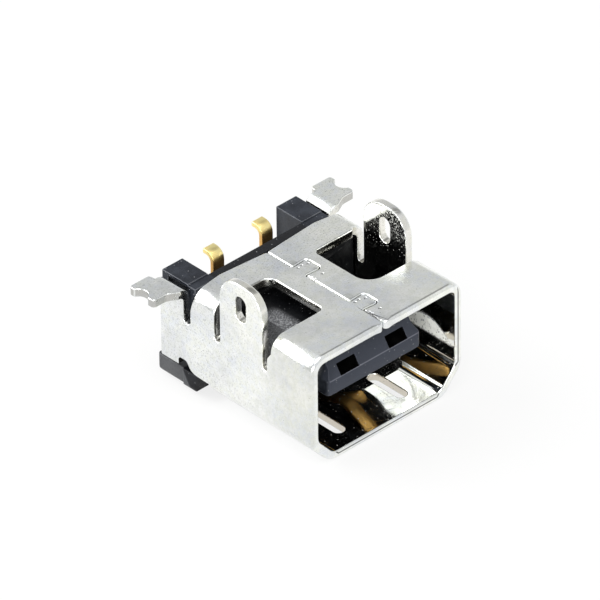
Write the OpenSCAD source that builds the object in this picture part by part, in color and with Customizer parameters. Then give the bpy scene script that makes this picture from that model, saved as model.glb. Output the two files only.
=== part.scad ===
// Board-mount charging jack: a folded, plated shell round a moulded tongue with two contacts.
// Millimetres. The mouth faces -Y and the solder side is up, so the shell's floor rests on Z = 0.
// The origin is under the middle of the part.

/* [Shell sheet] */
// Thickness of the plated sheet
sheet = 0.4; // [0.3:0.05:0.5]
// Width of the shell outside, wall to wall
shell_w = 8.4; // [7.8:0.1:10]
// Height of the shell outside, floor to top
shell_h = 5.4; // [5:0.1:6.4]
// Width of the flat floor outside
floor_w = 6.3; // [5.9:0.1:6.6]
// Height of the slanted lower corners
slant_h = 1.18; // [1:0.02:1.4]
// Outside radius of the two upper bends
top_bend = 0.75; // [0.6:0.05:1]
// Outside radius of the two bends beside the floor
floor_bend = 0.86; // [0.52:0.02:1]
// Outside radius of the two bends from the slanted corners to the walls
wall_bend = 1; // [0.52:0.02:1.1]
// Length of the top, from the mouth
top_l = 7.07; // [6.8:0.01:7.4]
// How much shorter the top is at its seam
top_dip = 0.2; // [0:0.01:0.3]
// Distance from the centre line where the top's rear edge turns towards the seam
dip_x = 2.6; // [1.5:0.1:3]
// Length of the floor, from the mouth
floor_l = 6.15; // [5.6:0.05:6.2]
// How far the side walls run on behind the top
wall_run = 1.79; // [1.7:0.01:2.6]

/* [Seam in the top] */
// Sideways place of the seam
seam_x = -0.15; // [-0.4:0.05:0.1]
// Gap between the two edges that meet
seam_gap = 0.04; // [0.04:0.01:0.1]
// How far each jigsaw tab reaches across the seam
tab_reach = 0.83; // [0.6:0.01:1]
// Width of a tab at its head
tab_head = 0.9; // [0.8:0.02:1.1]
// Width of a tab at its neck
tab_neck = 0.78; // [0.6:0.02:0.8]
// Distance of the front tab from the mouth
front_tab_y = 1.65; // [1.4:0.05:1.9]
// Distance of the rear tab from the mouth
rear_tab_y = 4.98; // [4.6:0.02:5.3]
// Radius of the corners in a tab's neck
neck_r = 0.1; // [0.06:0.01:0.14]
// Radius of the corners of a tab's head
head_r = 0.2; // [0.1:0.01:0.26]
// Radius of the corners where the seam runs out at the mouth
seam_front_r = 0.22; // [0.1:0.02:0.3]
// Radius of the corners where the seam runs out at the rear
seam_rear_r = 0.08; // [0.05:0.01:0.2]

/* [Windows, ears and floor slots] */
// Distance from the centre line to a window's inner edge
window_x = 1.25; // [1.1:0.05:1.6]
// Front edge of the windows, from the mouth
window_front = 2.4; // [2.1:0.05:2.5]
// Rear edge of the windows, from the mouth
window_rear = 5.57; // [5.45:0.01:5.7]
// Radius of the right window's front inner corner
right_front_r = 0.8; // [0.2:0.1:1]
// Radius of the right window's rear inner corner
right_rear_r = 0.25; // [0.05:0.05:0.5]
// Radius of the left window's front inner corner
left_front_r = 0.25; // [0.05:0.05:0.5]
// Radius of the left window's rear inner corner
left_rear_r = 0.45; // [0.2:0.05:0.8]
// Middle of the ears, from the mouth
ear_y = 4.13; // [4.05:0.01:4.2]
// Length of an ear along its wall
ear_l = 2.47; // [2.2:0.01:2.6]
// Height of an ear above the top
ear_h = 1.68; // [1.4:0.02:2.2]
// Radius of an ear's upper corners
ear_r = 1.05; // [0.4:0.05:1.1]
// Width of the oval hole in an ear
eye_w = 0.62; // [0.5:0.02:0.9]
// Height of the oval hole in an ear
eye_h = 1.2; // [1:0.05:1.4]
// Height of the hole's middle above the top
eye_up = 0.5; // [0.3:0.02:0.6]
// Width of the relief slot in front of an ear
front_relief_w = 0.27; // [0.2:0.01:0.35]
// Width of the relief slot behind an ear
rear_relief_w = 0.36; // [0.3:0.01:0.45]
// Radius of the curve from the slot in front of an ear into its window
mouth_r = 0.3; // [0.1:0.05:0.3]
// Radius where that curve meets the window's front edge
mouth_edge_r = 0.1; // [0.04:0.02:0.1]
// Depth below the upper bend where that curve starts
mouth_lead = 0.04; // [0.04:0.01:0.08]
// Depth below the upper bend where it ends
mouth_drop = 0.35; // [0.3:0.01:0.4]
// Depth of the relief slots below the top
relief_depth = 1.78; // [1.5:0.02:2]
// Sideways place of the plug's latch slots in the floor
latch_x = 1.74; // [1.4:0.02:2]
// Width of a latch slot
latch_w = 0.56; // [0.4:0.02:0.8]
// Front end of the latch slots, from the mouth
latch_front = 0.8; // [0.7:0.05:1.1]
// Length of a latch slot
latch_l = 2.1; // [1.6:0.1:2.6]

/* [Rear panels and solder wings] */
// Length of the rear panel of a side wall
panel_l = 1.36; // [1.2:0.02:1.5]
// Height of the rear panel's lower edge
panel_low = 1.34; // [1.3:0.02:1.6]
// Width of the tapered slot in front of the panel, at its foot
panel_slot_w = 0.39; // [0.3:0.01:0.45]
// Depth of that slot below the top
panel_slot_depth = 1.8; // [1.5:0.05:2.2]
// How far the slot's front edge lies in front of the top's rear edge
panel_slot_lead = 0.12; // [0.05:0.01:0.2]
// Height above the upper bend where it is at its widest
panel_slot_rise = 0.3; // [0.2:0.01:0.3]
// Depth below the upper bend where it starts to widen
panel_slot_fall = 0.3; // [0.2:0.02:0.5]
// Radius where it is at its widest
panel_slot_crest = 0.3; // [0.1:0.05:0.3]
// Radius where it starts to widen
panel_slot_waist = 0.5; // [0.2:0.05:0.5]
// Height of the notch under the slot
notch_h = 0.39; // [0.3:0.01:0.44]
// Width of the notch
notch_w = 0.5; // [0.44:0.02:0.54]
// How far the notch reaches in front of the panel
notch_lead = 0.14; // [0.1:0.01:0.16]
// How far the foot of the rising edge lies in front of the notch
edge_lead = 0.32; // [0.24:0.02:0.36]
// Height of that foot
edge_low = 1.22; // [1.18:0.01:1.3]
// Height of the rising edge at the floor's end, below the top of the slanted corners
edge_drop = 0.01; // [0:0.01:0.1]
// Radius of the notch's upper corners
notch_r = 0.2; // [0.1:0.02:0.22]
// Radius where the rising edge turns into the notch
edge_r = 0.5; // [0.2:0.05:0.6]
// Radius of the panel's lower corner
panel_r = 0.04; // [0.02:0.01:0.1]
// How far the solder plane lies below the top
solder_drop = 0.2; // [0.15:0.01:0.3]
// Inside radius of the bend out to a wing
wing_bend = 0.2; // [0.15:0.01:0.3]
// How far a wing reaches out from its wall
wing_reach = 1.38; // [1.2:0.02:1.6]
// How much the front edge of a wing is drawn back from its fold
wing_taper = 0.24; // [0.1:0.02:0.3]
// How far a wing overhangs the panel's rear edge
wing_over = 0.32; // [0.2:0.02:0.4]
// Radius of the notch that forks a wing's end
fork_r = 0.42; // [0.3:0.02:0.45]
// Depth of that notch
fork_depth = 0.27; // [0.2:0.01:0.29]
// How far the notch lies behind the middle of the wing
fork_shift = 0.02; // [0:0.01:0.04]
// Radius where a wing's front edge turns from the taper
taper_r = 0.4; // [0.1:0.05:0.5]
// Radius of a wing's front prong
front_prong_r = 0.16; // [0.08:0.01:0.16]
// Radius of a wing's rear prong
rear_prong_r = 0.14; // [0.08:0.01:0.14]
// Radius of a wing's inner rear corner
wing_heel_r = 0.18; // [0.1:0.01:0.2]
// How far that corner lies outside the fold's axis
wing_heel = 0.08; // [0.05:0.01:0.1]

/* [Moulded housing] */
// Clearance between the housing and the shell
fit = 0.04; // [0.02:0.01:0.08]
// Front of the wall that closes the socket, from the mouth
bulkhead_y = 5.9; // [5.8:0.05:6.1]
// Gap between the top's rear edge and the rear strip
strip_gap = 0.21; // [0.15:0.01:0.35]
// Length of the rear strip
strip_l = 0.44; // [0.35:0.01:0.6]
// Drop of the strip below the top
strip_drop = 0.35; // [0.3:0.01:0.38]
// Height of the corner blocks above the strip
block_step = 0.05; // [0.02:0.01:0.1]
// Distance from the centre line to a corner block's inner side
block_x = 2.6; // [2.3:0.05:2.9]
// How far the blocks stand out behind the side walls
block_over = 0.38; // [0.34:0.01:0.5]
// Depth of the hollow in a block's side, behind the rear panel
block_hollow = 0.2; // [0.1:0.01:0.3]
// Height of the block's edge above that hollow
block_brim = 0.16; // [0.1:0.02:0.3]
// Width of the foot
foot_w = 7.8; // [7.4:0.02:8]
// How far the foot reaches in front of the rear panels
foot_lead = 1.2; // [1.1:0.02:1.24]
// Height of the foot's underside at its ends
foot_low = 0.15; // [0.1:0.01:0.2]
// Height of the foot's top
foot_top = 1; // [0.8:0.05:1.2]
// Width of the pad under the foot, which stands level with the shell's floor
pad_w = 5.4; // [4:0.1:6.4]
// How far the foot stands out behind the side walls
foot_over = 0.54; // [0.4:0.01:0.6]
// Radius of the foot's lower side edges
foot_r = 0.22; // [0.1:0.02:0.3]
// Radius of the foot's rear lower edge
heel_r = 0.46; // [0.3:0.02:0.5]
// Width of the rounded bar along the foot's front
bar_l = 1.56; // [1.5:0.02:1.6]
// Height of the bar's underside
bar_low = 0.08; // [0.06:0.01:0.12]
// How much of the bar's width its underside takes to rise to the front
bow_l = 0.92; // [0.84:0.02:0.96]
// Radius where that underside starts to rise
bow_r = 0.8; // [0.5:0.05:0.9]
// How far the bar stands proud of the foot
bar_proud = 0.05; // [0.02:0.01:0.06]
// Radius of the bar's lower side edges
bar_r = 0.28; // [0.2:0.02:0.28]
// Radius of the bar's rear lower edge
bar_rear_r = 0.15; // [0.1:0.01:0.2]
// Radius of the foot's rear corners, seen from above
foot_corner = 0.15; // [0.05:0.05:0.4]
// Radius of the bar's front corners, seen from above
bar_nose = 0.2; // [0.1:0.02:0.3]
// Radius of the bar's rear corners, seen from above
bar_heel = 0.06; // [0.02:0.01:0.06]

/* [Tongue] */
// Distance of the tongue's front from the mouth
tongue_front = 0.75; // [0.5:0.05:1]
// Width of the tongue
tongue_w = 5.16; // [4.9:0.02:5.6]
// Thickness of the tongue
tongue_t = 1.76; // [1.6:0.02:2]
// Gap between the tongue and the shell's top
tongue_clear = 0.7; // [0.6:0.02:0.8]
// Height of the tongue's upright front edge
tongue_lip = 0.69; // [0.5:0.01:0.8]
// Slope of the tongue's front, in degrees from level
tongue_slope = 56; // [45:1:65]
// Radius of the tongue's front corners
tongue_r = 0.2; // [0.1:0.02:0.35]
// How much narrower each side of the tongue is at its top
shoulder_w = 0.26; // [0.1:0.02:0.4]
// Height where the tongue's sides start to lean in, above its underside
shoulder_z = 0.6; // [0.4:0.02:0.7]
// Height of those leaning faces
shoulder_h = 0.5; // [0.3:0.02:0.7]
// Distance from the centre line to a front opening
opening_x = 0.84; // [0.6:0.02:1]
// Width of a front opening
opening_w = 1; // [0.8:0.02:1.1]
// Height of a front opening
opening_h = 0.44; // [0.3:0.02:0.6]
// Rear end of the front openings, from the mouth
opening_rear = 3.4; // [3:0.1:3.8]
// Length of the tongue's solid end in front of a contact's tip
nose_l = 1.15; // [1:0.05:1.3]

/* [Contacts] */
// Distance from the centre line to a contact's middle
contact_x = 1.35; // [1.2:0.05:1.45]
// Width of a contact
contact_w = 0.6; // [0.5:0.02:0.7]
// Thickness of a contact
contact_t = 0.22; // [0.15:0.01:0.25]
// Clearance round a contact in the housing
contact_fit = 0.02; // [0.01:0.01:0.05]
// Play of a contact's tip in front and at its sides
tip_play = 0.1; // [0.06:0.01:0.15]
// Depth of the groove above a contact
groove_play = 0.16; // [0.1:0.02:0.3]
// Height of the tip above the tongue's underside
tip_up = 0.8; // [0.7:0.02:0.95]
// Height above the tongue's underside where the tip turns to the rear
tip_turn = 0.3; // [0.2:0.02:0.4]
// Bend radius behind the tip, at the middle line
tip_r = 0.3; // [0.2:0.05:0.4]
// Place of the spring's lowest point, from the mouth
spring_y = 3.9; // [3.6:0.05:4.2]
// Depth of the spring's lowest point below the tongue
spring_depth = 0.7; // [0.5:0.02:0.8]
// Rear end of the spring, from the mouth
spring_end = 5.2; // [5:0.05:5.4]
// Bend radius of the spring, at its middle line
spring_r = 0.7; // [0.5:0.05:0.8]
// Distance of the tail's end from the plane of the blocks' rear
tail_inset = 0.18; // [0:0.02:0.3]
// Bend radius of the leg, at its middle line
leg_r = 0.36; // [0.28:0.02:0.4]
// Length of the tail that is soldered, with its bend
tail_l = 0.66; // [0.6:0.02:0.8]

/* [Hidden] */

plating = "silver";
moulding = "#2a2b2f";
gilding = "gold";

arc_steps = 8;          // flats in one bend
over = 1;               // how far a cutter runs past what it cuts
lap = 0.05;             // how far two parts of one piece run into each other
round_end = 0.495;      // corner radius of a slot's round end, in widths
circle_steps = 48;      // flats round a hole or a full corner

shell_rise = shell_h - top_bend;            // where the upper bends begin
wall_l = top_l + wall_run;
solder_z = shell_h - solder_drop;           // board side of the wings and tails
wall_x = shell_w / 2;
wall_in = wall_x - sheet;
panel_front = wall_l - panel_l;
wall_far = wall_x + over;                   // beyond the wall's outside

ear_top = shell_h + ear_h;
ear_front = ear_y - ear_l / 2;
ear_rear = ear_y + ear_l / 2;
relief_z = shell_h - relief_depth;

wing_tip = wall_x + wing_reach;
wing_rear = wall_l + wing_over;
wing_front = panel_front + wing_taper;
wing_fold_x = wall_x + wing_bend;           // axis of the bend out to a wing
wing_fold_z = solder_z - sheet - wing_bend;

strip_front = top_l + strip_gap;
strip_rear = strip_front + strip_l;
strip_z = shell_h - strip_drop;
block_z = strip_z + block_step;
block_out = wall_in - 2 * fit;
block_rear = wall_l + block_over;
foot_front = panel_front - foot_lead;
foot_rear = wall_l + foot_over;
bar_rear = foot_front + bar_l;

tongue_top = shell_h - sheet - tongue_clear;
tongue_low = tongue_top - tongue_t;
slope_z = tongue_low + tongue_lip;
slope_y = tongue_front + (tongue_top - slope_z) / tan(tongue_slope);

opening_z = slope_z + opening_h;
shaft_front = tongue_front + nose_l;
tip_y = shaft_front + tip_play + contact_t / 2;
tip_foot = tongue_low + tip_turn;
contact_z = tongue_low - contact_t / 2 + contact_fit;   // middle of the contact in the housing
groove_top = tongue_low + contact_t + groove_play;
tail_z = solder_z - contact_t / 2;
tail_end = block_rear - tail_inset;
leg_y = tail_end - tail_l + contact_t / 2;
spring_z = tongue_low - spring_depth + contact_t / 2;

part_l = foot_rear;

// Direction from a to b, one long
function unit(a, b) = (b - a) / norm(b - a);

// A direction turned a quarter to the left
function left(u) = [-u[1], u[0]];

// Points of the bend at q on the way p, q, r, set off by d to the left of the way
function bend(p, q, r, radius, d) =
    let (
        u = unit(p, q),
        v = unit(q, r),
        turn = atan2(cross(u, v), u * v),
        way = sign(turn),
        centre = q - u * radius * tan(abs(turn) / 2) + way * radius * left(u),
        from = atan2(-way * left(u)[1], -way * left(u)[0])
    )
    radius == 0 ? [q] :
    [for (i = [0 : arc_steps])
        let (a = from + turn * i / arc_steps)
        centre + (radius - way * d) * [cos(a), sin(a)]];

// Closed outline with one radius for each corner, set in by d
function outline(points, radii, d = 0) =
    let (n = len(points))
    [for (i = [0 : n - 1])
        each bend(points[(i + n - 1) % n], points[i], points[(i + 1) % n], radii[i], d)];

// One side of an open strip that follows a way, set off by d to the left
function strip_side(points, radii, d) =
    let (n = len(points))
    concat(
        [points[0] + d * left(unit(points[0], points[1]))],
        [for (i = [1 : n - 2]) each bend(points[i - 1], points[i], points[i + 1], radii[i - 1], d)],
        [points[n - 1] + d * left(unit(points[n - 2], points[n - 1]))]
    );

function reversed(list) = [for (i = [len(list) - 1 : -1 : 0]) list[i]];

// Section of a strip of thickness t along a way
module strip(points, radii, t) {
    polygon(concat(strip_side(points, radii, t / 2), reversed(strip_side(points, radii, -t / 2))));
}

// Front view (X, Z) drawn out from Y = a to Y = b
module along_y(a, b) {
    translate([0, b, 0]) rotate([90, 0, 0]) linear_extrude(b - a) children();
}

// Side view (Y, Z) drawn out from X = a to X = b
module along_x(a, b) {
    translate([a, 0, 0]) rotate([90, 0, 90]) linear_extrude(b - a) children();
}

// Plan (X, Y) drawn out from Z = a to Z = b
module along_z(a, b) {
    translate([0, 0, a]) linear_extrude(b - a) children();
}

// One of each side, mirrored across the centre plane
module both_sides() {
    children();
    mirror([1, 0, 0]) children();
}

// From the mouth's plane to the part's own frame
module in_frame() {
    translate([0, -part_l / 2, 0]) children();
}

// Front view of the shell, set in by d
module tube_section(d) {
    polygon(outline(
        [[-floor_w / 2, 0], [floor_w / 2, 0], [wall_x, slant_h],
         [wall_x, shell_h], [-wall_x, shell_h], [-wall_x, slant_h]],
        [floor_bend, floor_bend, wall_bend, top_bend, top_bend, wall_bend],
        d));
}

// The folded tube, with the top cut back to top_l, the floor to floor_l, and the walls at full length
module tube() {
    corner_x = wall_x - top_bend;
    corner_y = top_l - panel_slot_lead;
    difference() {
        along_y(0, wall_l) tube_section(0);
        along_y(-over, wall_l + over) tube_section(sheet);
        along_z(wing_fold_z, shell_h + over)
            polygon([[-wall_far, panel_front], [-corner_x, panel_front], [-corner_x, corner_y],
                     [-dip_x, top_l], [seam_x, top_l - top_dip], [dip_x, top_l],
                     [corner_x, corner_y], [corner_x, panel_front], [wall_far, panel_front],
                     [wall_far, wall_l + over], [-wall_far, wall_l + over]]);
        along_x(-wall_far, wall_far) rear_relief();
    }
}

// Side view of what is cut away below the walls at the rear: the floor's end, a rising edge and a notch
module rear_relief() {
    notch_front = panel_front - notch_lead;
    polygon(outline(
        [[floor_l, -over], [wall_l + over, -over], [wall_l + over, panel_low],
         [notch_front + notch_w, panel_low], [notch_front + notch_w, panel_low + notch_h],
         [notch_front, panel_low + notch_h], [notch_front - edge_lead, edge_low],
         [floor_l, slant_h - edge_drop]],
        [0, 0, 0, panel_r, notch_r, notch_r, edge_r, 0]));
}

// Side view of the tapered slot between a wall and its rear panel
module panel_slot() {
    foot = shell_h - panel_slot_depth;
    r = panel_slot_w * round_end;
    polygon(outline(
        [[panel_front, foot], [panel_front, shell_h + over], [top_l - panel_slot_lead, shell_h + over],
         [top_l - panel_slot_lead, shell_rise + panel_slot_rise],
         [panel_front - panel_slot_w, shell_rise - panel_slot_fall],
         [panel_front - panel_slot_w, foot]],
        [r, 0, 0, panel_slot_crest, panel_slot_waist, r]));
}

// Side view of the relief slot in front of an ear: it opens in a curve to the window's front edge
module front_relief() {
    r = front_relief_w * round_end;
    polygon(outline(
        [[ear_front, relief_z], [ear_front, shell_h + over], [window_front, shell_h + over],
         [window_front, shell_rise - mouth_lead], [ear_front - front_relief_w, shell_rise - mouth_drop],
         [ear_front - front_relief_w, relief_z]],
        [r, 0, 0, mouth_edge_r, mouth_r, r]));
}

// Side view of the relief slot behind an ear
module back_relief() {
    r = rear_relief_w * round_end;
    polygon(outline(
        [[ear_rear + rear_relief_w, relief_z], [ear_rear + rear_relief_w, shell_h + over],
         [ear_rear, shell_h + over], [ear_rear, relief_z]],
        [r, 0, 0, r]));
}

// Plan of a window in the top, with its own radius at each inner corner
module window(side, front_r, rear_r) {
    scale([side, 1])
        polygon(outline(
            [[window_x, window_front], [wall_far, window_front],
             [wall_far, window_rear], [window_x, window_rear]],
            [front_r, 0, 0, rear_r]));
}

// Plan of the seam: a slit that goes round two dovetailed tabs and opens at both ends
module seam() {
    neck = tab_neck / 2;
    head = tab_head / 2;
    far = seam_x + tab_reach;
    strip(
        [[seam_x, top_l + over],
         [seam_x, rear_tab_y + neck], [far, rear_tab_y + head],
         [far, rear_tab_y - head], [seam_x, rear_tab_y - neck],
         [seam_x, front_tab_y + neck], [far, front_tab_y + head],
         [far, front_tab_y - head], [seam_x, front_tab_y - neck],
         [seam_x, -over]],
        [neck_r, head_r, head_r, neck_r, neck_r, head_r, head_r, neck_r],
        seam_gap);
    seam_end(0, 1, seam_front_r);
    seam_end(top_l - top_dip, -1, seam_rear_r);
}

// Plan of the rounded corners where the seam meets an edge at y, with the sheet in direction way
module seam_end(y, way, r) {
    half = seam_gap / 2;
    translate([seam_x, y]) scale([1, way]) difference() {
        translate([-half - r, -over]) square([2 * (half + r), over + r]);
        for (side = [-1, 1])
            translate([side * (half + r), r]) circle(r, $fn = circle_steps);
    }
}

// Plan of the two slots in the floor that the plug's latches drop into
module latch_slots() {
    r = latch_w / 2;
    for (side = [-1, 1])
        translate([side * latch_x, 0]) {
            translate([-r, latch_front + r]) square([latch_w, latch_l - latch_w]);
            for (y = [latch_front + r, latch_front + latch_l - r])
                translate([0, y]) circle(r, $fn = circle_steps);
        }
}

// Side view of an ear with its oval hole
module ear_section() {
    r = eye_w / 2;
    rise = eye_h / 2 - r;
    difference() {
        polygon(outline(
            [[ear_front, shell_rise], [ear_rear, shell_rise], [ear_rear, ear_top], [ear_front, ear_top]],
            [0, 0, ear_r, ear_r]));
        translate([ear_y, shell_h + eye_up]) {
            square([eye_w, 2 * rise], center = true);
            for (side = [-1, 1])
                translate([0, side * rise]) circle(r, $fn = circle_steps);
        }
    }
}

// Front view of the fold from a rear panel out to its wing
module wing_fold() {
    strip(
        [[wall_in + sheet / 2, wing_fold_z - lap],
         [wall_in + sheet / 2, solder_z - sheet / 2],
         [wing_fold_x + lap, solder_z - sheet / 2]],
        [wing_bend + sheet / 2],
        sheet);
}

// Plan of the flat of a wing, forked at its end
module wing_plan() {
    difference() {
        polygon(outline(
            [[wing_fold_x, panel_front], [wing_fold_x + lap, panel_front],
             [wing_fold_x + lap + 2 * wing_taper, wing_front], [wing_tip, wing_front],
             [wing_tip, wing_rear], [wing_fold_x + wing_heel, wing_rear], [wing_fold_x + lap, wall_l],
             [wing_fold_x, wall_l]],
            [0, 0, taper_r, front_prong_r, rear_prong_r, wing_heel_r, 0, 0]));
        translate([wing_tip + fork_r - fork_depth, (wing_front + wing_rear) / 2 + fork_shift])
            circle(fork_r, $fn = circle_steps);
    }
}

module shell() {
    color(plating) in_frame() {
        difference() {
            tube();
            along_z(shell_rise, shell_h + over) {
                window(1, right_front_r, right_rear_r);
                window(-1, left_front_r, left_rear_r);
            }
            both_sides() {
                along_x(wall_x - top_bend, wall_far) front_relief();
                along_x(wall_x - top_bend, wall_far) back_relief();
                along_x(wall_x - top_bend, wall_far) panel_slot();
            }
            along_z(shell_h - sheet - fit, shell_h + over) seam();
            along_z(-over, sheet + fit) latch_slots();
        }
        both_sides() {
            along_x(wall_in, wall_x) ear_section();
            along_y(panel_front, wall_l) wing_fold();
            along_z(solder_z - sheet, solder_z) wing_plan();
        }
    }
}

// Front view, side view and plan of the tongue meet in its solid
module tongue() {
    half = tongue_w / 2;
    back = bulkhead_y + fit;
    upper = half - shoulder_w;
    lean = tongue_low + shoulder_z;
    intersection() {
        along_y(0, back)
            polygon([[-half, tongue_low], [half, tongue_low], [half, lean], [upper, lean + shoulder_h],
                     [upper, tongue_top], [-upper, tongue_top], [-upper, lean + shoulder_h], [-half, lean]]);
        along_x(-half, half)
            polygon([[tongue_front, tongue_low], [back, tongue_low], [back, tongue_top],
                     [slope_y, tongue_top], [tongue_front, slope_z]]);
        along_z(tongue_low - over, tongue_top + over)
            polygon(outline(
                [[-half, tongue_front], [half, tongue_front], [half, back + over], [-half, back + over]],
                [tongue_r, tongue_r, 0, 0]));
    }
}

// A slab of the foot between low and its top: a front view rounded by low_r below, the side view that is
// passed to it, and a plan with front_r and rear_r at its corners
module slab(half, low, low_r, front, rear, front_r, rear_r) {
    intersection() {
        along_y(front, rear)
            polygon(outline([[-half, low], [half, low], [half, foot_top], [-half, foot_top]],
                            [low_r, low_r, 0, 0]));
        along_x(-half, half) children();
        along_z(low, foot_top)
            polygon(outline([[-half, front], [half, front], [half, rear], [-half, rear]],
                            [front_r, front_r, rear_r, rear_r]));
    }
}

// The foot: a slab with a bar along its front, whose underside rises to the front, and a pad to stand on
module foot() {
    half = foot_w / 2;
    slab_front = bar_rear - 2 * lap;
    slab(half, foot_low, foot_r, slab_front, foot_rear, 0, foot_corner)
        polygon(outline([[slab_front, foot_low], [foot_rear, foot_low], [foot_rear, foot_top],
                         [slab_front, foot_top]],
                        [0, heel_r, 0, 0]));
    slab(half + bar_proud, bar_low, bar_r, foot_front, bar_rear, bar_nose, bar_heel)
        polygon(outline([[foot_front + bow_l, bar_low], [bar_rear, bar_low], [bar_rear, foot_top],
                         [foot_front, foot_top]],
                        [bow_r, bar_rear_r, 0, 0]));
    translate([-pad_w / 2, bar_rear, 0])
        cube([pad_w, foot_rear - heel_r - bar_rear, foot_low + lap]);
}

// A corner block, hollowed at its side where the rear panel passes
module corner_block() {
    difference() {
        translate([block_x, strip_front, foot_top - fit])
            cube([block_out - block_x, block_rear - strip_front, block_z - foot_top + fit]);
        translate([block_x - over, strip_front - over, strip_z])
            cube([shell_w, strip_l + over, over]);
        translate([block_out - block_hollow, strip_front - over, foot_top - over])
            cube([over, wall_l + fit / 2 - strip_front + over, block_z - block_brim - foot_top + over]);
    }
}

// What a contact needs free: a shaft for its tip, a groove under the tongue, a channel in the bulkhead
module contact_way() {
    play = contact_w / 2 + tip_play;
    half = contact_w / 2 + contact_fit;
    along_z(tongue_low - over, opening_z)
        translate([contact_x - play, shaft_front]) square([2 * play, opening_rear - shaft_front]);
    along_z(tongue_low - over, groove_top)
        translate([contact_x - play, opening_rear - over / 2])
            square([2 * play, bulkhead_y - opening_rear + over / 2]);
    along_y(bulkhead_y - over / 2, strip_rear + over)
        translate([contact_x, contact_z]) square([2 * half, contact_t + 2 * contact_fit], center = true);
}

module housing() {
    color(moulding) in_frame() difference() {
        union() {
            along_y(bulkhead_y, strip_rear) tube_section(sheet + fit);
            translate([-block_out, strip_front, shell_rise])
                cube([2 * block_out, strip_l, strip_z - shell_rise]);
            both_sides() corner_block();
            foot();
            tongue();
        }
        both_sides() {
            contact_way();
            translate([opening_x, 0, slope_z]) cube([opening_w, opening_rear, opening_h]);
        }
    }
}

// A contact: a springy bow under the tongue, a straight run through the housing, a leg and a tail
module contact(side) {
    color(gilding) in_frame()
        along_x(side * contact_x - contact_w / 2, side * contact_x + contact_w / 2)
            strip(
                [[tip_y, tongue_low + tip_up], [tip_y, tip_foot], [spring_y, spring_z],
                 [spring_end, contact_z], [leg_y, contact_z], [leg_y, tail_z], [tail_end, tail_z]],
                [tip_r, spring_r, spring_r, leg_r, leg_r],
                contact_t);
}

module left_contact() {
    contact(-1);
}

module right_contact() {
    contact(1);
}

shell();
housing();
left_contact();
right_contact();
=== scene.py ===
import math

import bmesh
import bpy
from mathutils import Matrix, Vector


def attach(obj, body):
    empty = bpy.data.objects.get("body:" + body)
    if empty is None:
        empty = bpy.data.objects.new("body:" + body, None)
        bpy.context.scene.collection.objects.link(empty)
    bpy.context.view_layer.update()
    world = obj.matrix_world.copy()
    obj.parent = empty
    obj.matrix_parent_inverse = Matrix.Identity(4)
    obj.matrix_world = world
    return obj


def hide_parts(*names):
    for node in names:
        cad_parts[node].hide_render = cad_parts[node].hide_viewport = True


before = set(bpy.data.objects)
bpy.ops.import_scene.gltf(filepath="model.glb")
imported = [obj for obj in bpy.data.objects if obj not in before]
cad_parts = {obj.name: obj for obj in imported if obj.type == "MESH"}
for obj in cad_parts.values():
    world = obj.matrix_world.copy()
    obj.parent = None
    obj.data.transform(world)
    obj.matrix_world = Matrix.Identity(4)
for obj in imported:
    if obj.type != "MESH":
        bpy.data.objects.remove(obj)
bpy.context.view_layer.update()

MM = 0.001

# How the camera stood: where it points, how it is turned, how far away, and its picture scale
CAMERA_TARGET = Vector((0, -0.08, 2.1)) * MM
CAMERA_AZIMUTH = math.radians(-43.2215)
CAMERA_ELEVATION = math.radians(35.5158)
CAMERA_ROLL = math.radians(-0.5674)
CAMERA_DISTANCE = 427.7 * MM
SENSOR_WIDTH = 36
PICTURE_SIDE = 600
PIXELS_PER_MM = 24.768
TARGET_PIXEL = (308.50, 340.02)
CLIP_START = 0.01
CLIP_END = 20

# Places on the part, in millimetres
SHEET = 0.4
TOP_Z = 5.4
TUBE_MIDDLE_Z = 2.7
INNER_WALL_X = 3.8
RIM_SLANT = 2.3
SEAM_X = -0.15
SEAM_EASE = (0.35, 0.5)
TAB_MIDDLES_Y = (-3.05, 0.28)
WINDOW_REAR_Y = 0.87
LIP_EDGE_Y = -3.95
LIP_EDGE_Z = 3.23

# Edges sharper than these are rounded
SHEET_EDGE_ANGLE = math.radians(32)
MOULDED_EDGE_ANGLE = math.radians(40)


# Meshes

MERGE_DISTANCE = 0.0005 * MM
SAME_FLAT_ANGLE = math.radians(0.6)


def merged_mesh(node, name):
    """A CAD node's mesh with its loose triangles joined and its flat faces made whole."""
    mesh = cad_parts[node].data.copy()
    mesh.name = name
    bm = bmesh.new()
    bm.from_mesh(mesh)
    bmesh.ops.remove_doubles(bm, verts=bm.verts, dist=MERGE_DISTANCE)
    bmesh.ops.dissolve_limit(bm, angle_limit=SAME_FLAT_ANGLE, verts=bm.verts, edges=bm.edges)
    return mesh, bm


def finished_piece(mesh, bm, node, materials, width, segments):
    """Writes the mesh back and rounds its weighted edges, as a new piece that stands for the node."""
    mesh.materials.clear()
    for material in materials:
        mesh.materials.append(material)
    for face in bm.faces:
        face.smooth = True
    bm.to_mesh(mesh)
    bm.free()
    if "custom_normal" in mesh.attributes:
        mesh.attributes.remove(mesh.attributes["custom_normal"])
    piece = bpy.data.objects.new(mesh.name, mesh)
    bpy.context.scene.collection.objects.link(piece)
    rounding = piece.modifiers.new("rounded edges", "BEVEL")
    rounding.limit_method = "WEIGHT"
    rounding.width = width
    rounding.segments = segments
    rounding.profile = 0.5
    rounding.use_clamp_overlap = False
    rounding.loop_slide = False
    rounding.miter_outer = "MITER_SHARP"
    rounding.material = 1 if len(materials) > 1 else -1
    flats = piece.modifiers.new("true flats", "WEIGHTED_NORMAL")
    flats.mode = "FACE_AREA"
    flats.keep_sharp = True
    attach(piece, "root")
    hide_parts(node)
    return piece


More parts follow.
